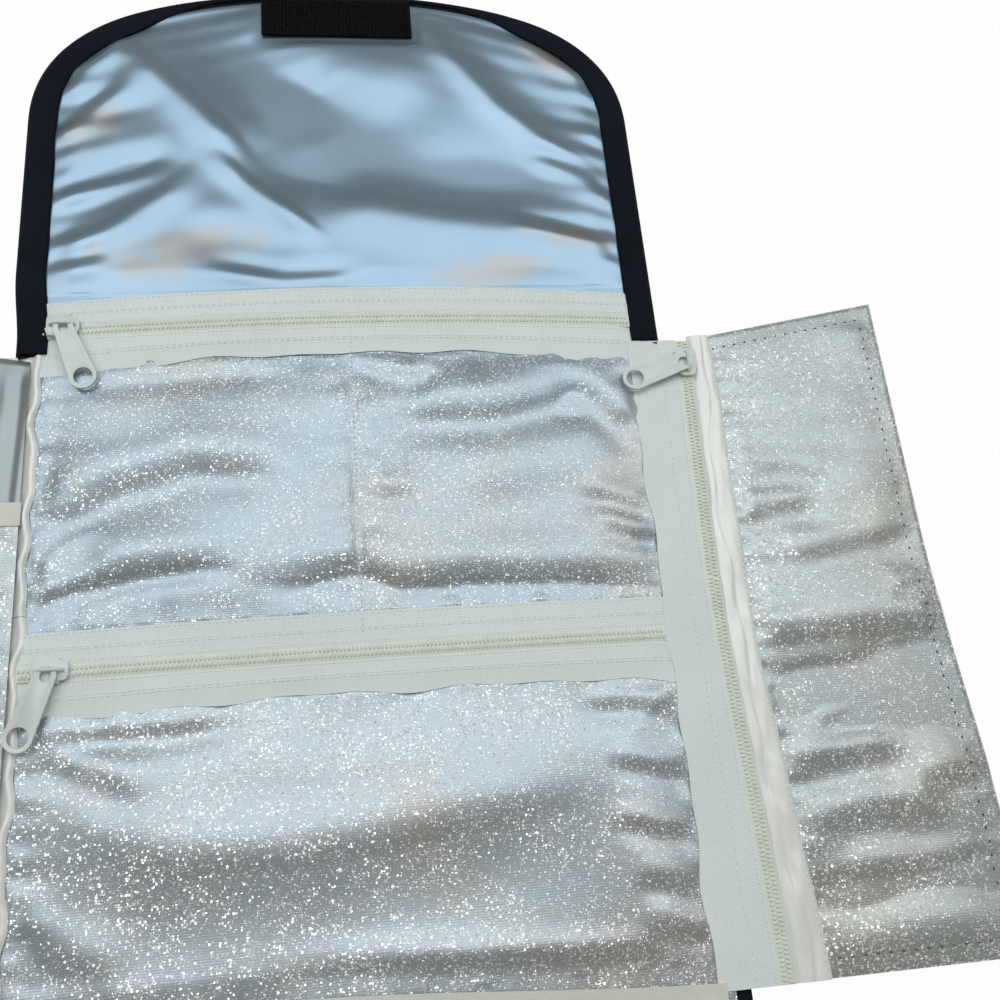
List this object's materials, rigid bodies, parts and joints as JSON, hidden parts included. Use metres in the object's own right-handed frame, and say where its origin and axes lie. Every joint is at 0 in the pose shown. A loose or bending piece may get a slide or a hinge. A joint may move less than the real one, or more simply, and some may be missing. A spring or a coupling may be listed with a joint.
{
  "type": "jewelry roll",
  "caption": "Folding travel jewelry roll lying open: padded centre with zip pockets, two side wings and a round-cornered closing flap with a hook tab.",
  "frame": {"origin": "middle of the open roll's box, on the surface that it lies on", "axes": "+Z out of the inside face, +Y towards the flap's tip, +X towards the wing with the zip"},
  "size_m": [0.424, 0.416, 0.011],
  "materials": {
    "cover": "navy woven cover cloth and binding",
    "padding": "soft batting",
    "satin": "silver-blue satin lining",
    "glitter": "silver glitter satin",
    "tape": "woven cream zip tape",
    "coil": "cream nylon coil",
    "facing": "off-white satin facing",
    "hook": "black hook and loop tape",
    "slider": "cream enamel on die-cast metal"
  },
  "bodies": {
    "center": {"center_cover": "cover", "center_padding": "padding", "center_lining": "satin", "center_binding_left": "cover", "center_binding_right": "cover", "pocket1_panel": "glitter", "zip1_upper_tape": "tape", "zip1_lower_tape": "tape", "zip1_coil": "coil", "flap_fold_spine": "satin", "lower_fold_spine": "glitter", "right_zip_inner_tape_upper": "tape", "left_wing_gusset_upper": "facing"},
    "flap": {"flap_cover": "cover", "flap_padding": "padding", "flap_lining": "satin", "flap_binding": "cover", "hook_tab": "hook"},
    "lower": {"lower_cover": "cover", "lower_padding": "padding", "lower_lining": "satin", "pocket2_panel": "glitter", "zip2_upper_tape": "tape", "zip2_lower_tape": "tape", "zip2_coil": "coil", "bottom_facing": "tape", "bottom_binding": "cover", "loop_patch": "hook", "right_zip_inner_tape_lower": "tape", "left_wing_gusset_lower": "facing"},
    "right_wing_upper": {"right_wing_upper_cover": "cover", "right_wing_upper_lining": "satin", "right_wing_upper_panel": "glitter", "right_zip_outer_tape_upper": "tape", "right_wing_upper_facing": "facing", "right_zip_coil_upper": "coil"},
    "right_wing_lower": {"right_wing_lower_cover": "cover", "right_wing_lower_lining": "satin", "right_wing_lower_panel": "glitter", "right_zip_outer_tape_lower": "tape", "right_wing_lower_facing": "facing", "right_zip_coil_lower": "coil"},
    "left_wing_upper": {"left_wing_upper_cover": "cover", "left_wing_upper_lining": "satin", "left_slip_pocket_upper": "glitter", "left_slip_pocket_hem": "facing"},
    "left_wing_lower": {"left_wing_lower_cover": "cover", "left_wing_lower_lining": "satin", "left_slip_pocket_lower": "glitter"},
    "zip1_slider": {"zip1_slider": "slider"},
    "zip1_pull": {"zip1_pull": "slider"},
    "zip2_slider": {"zip2_slider": "slider"},
    "zip2_pull": {"zip2_pull": "slider"},
    "right_zip_slider": {"right_zip_slider": "slider"},
    "right_zip_pull": {"right_zip_pull": "slider"}
  },
  "joints": [
    {"name": "flap_fold", "type": "hinge", "parent": "center", "child": "flap", "pos_m": [0, 0.09, 0.0085], "axis": [1, 0, 0], "range_deg": [0, 170], "deforming": ["flap_fold_spine"]},
    {"name": "lower_fold", "type": "hinge", "parent": "center", "child": "lower", "pos_m": [0, -0.061, 0.007], "axis": [1, 0, 0], "range_deg": [-170, 0], "deforming": ["lower_fold_spine"]},
    {"name": "right_wing_fold", "type": "hinge", "parent": "center", "child": "right_wing_upper", "pos_m": [0.119, 0, 0.0085], "axis": [0, -1, 0], "range_deg": [0, 180], "deforming": ["right_zip_inner_tape_upper"]},
    {"name": "right_wing_lower_fold", "type": "hinge", "parent": "lower", "child": "right_wing_lower", "pos_m": [0.119, 0, 0.0085], "axis": [0, -1, 0], "range_deg": [0, 180], "deforming": ["right_zip_inner_tape_lower"]},
    {"name": "left_wing_fold", "type": "hinge", "parent": "center", "child": "left_wing_upper", "pos_m": [-0.119, 0, 0.0085], "axis": [0, 1, 0], "range_deg": [0, 180], "deforming": ["left_wing_gusset_upper"]},
    {"name": "left_wing_lower_fold", "type": "hinge", "parent": "lower", "child": "left_wing_lower", "pos_m": [-0.119, 0, 0.0085], "axis": [0, 1, 0], "range_deg": [0, 180], "deforming": ["left_wing_gusset_lower"]},
    {"name": "zip1_slide", "type": "slide", "parent": "center", "child": "zip1_slider", "axis": [1, 0, 0], "range_m": [0, 0.186]},
    {"name": "zip2_slide", "type": "slide", "parent": "lower", "child": "zip2_slider", "axis": [1, 0, 0], "range_m": [0, 0.198]},
    {"name": "right_zip_slide", "type": "slide", "parent": "right_wing_upper", "child": "right_zip_slider", "axis": [0, -1, 0], "range_m": [0, 0.201]},
    {"name": "zip1_pull_swing", "type": "hinge", "parent": "zip1_slider", "child": "zip1_pull", "pos_m": [-0.101, 0.047, 0.0097], "axis": [1, 0, 0], "range_deg": [-188, 0]},
    {"name": "zip2_pull_swing", "type": "hinge", "parent": "zip2_slider", "child": "zip2_pull", "pos_m": [-0.101, -0.08, 0.0097], "axis": [-1, 0, 0], "range_deg": [0, 188]},
    {"name": "right_zip_pull_swing", "type": "hinge", "parent": "right_zip_slider", "child": "right_zip_pull", "pos_m": [0.129, 0.025, 0.0097], "axis": [0, 1, 0], "range_deg": [0, 188]}
  ],
  "couplings": [
    {"joint": "right_wing_lower_fold", "follows": "right_wing_fold", "ratio": 1},
    {"joint": "left_wing_lower_fold", "follows": "left_wing_fold", "ratio": 1},
    {"joint": "right_zip_pull_swing", "follows": "right_wing_fold", "ratio": 1.0444}
  ]
}
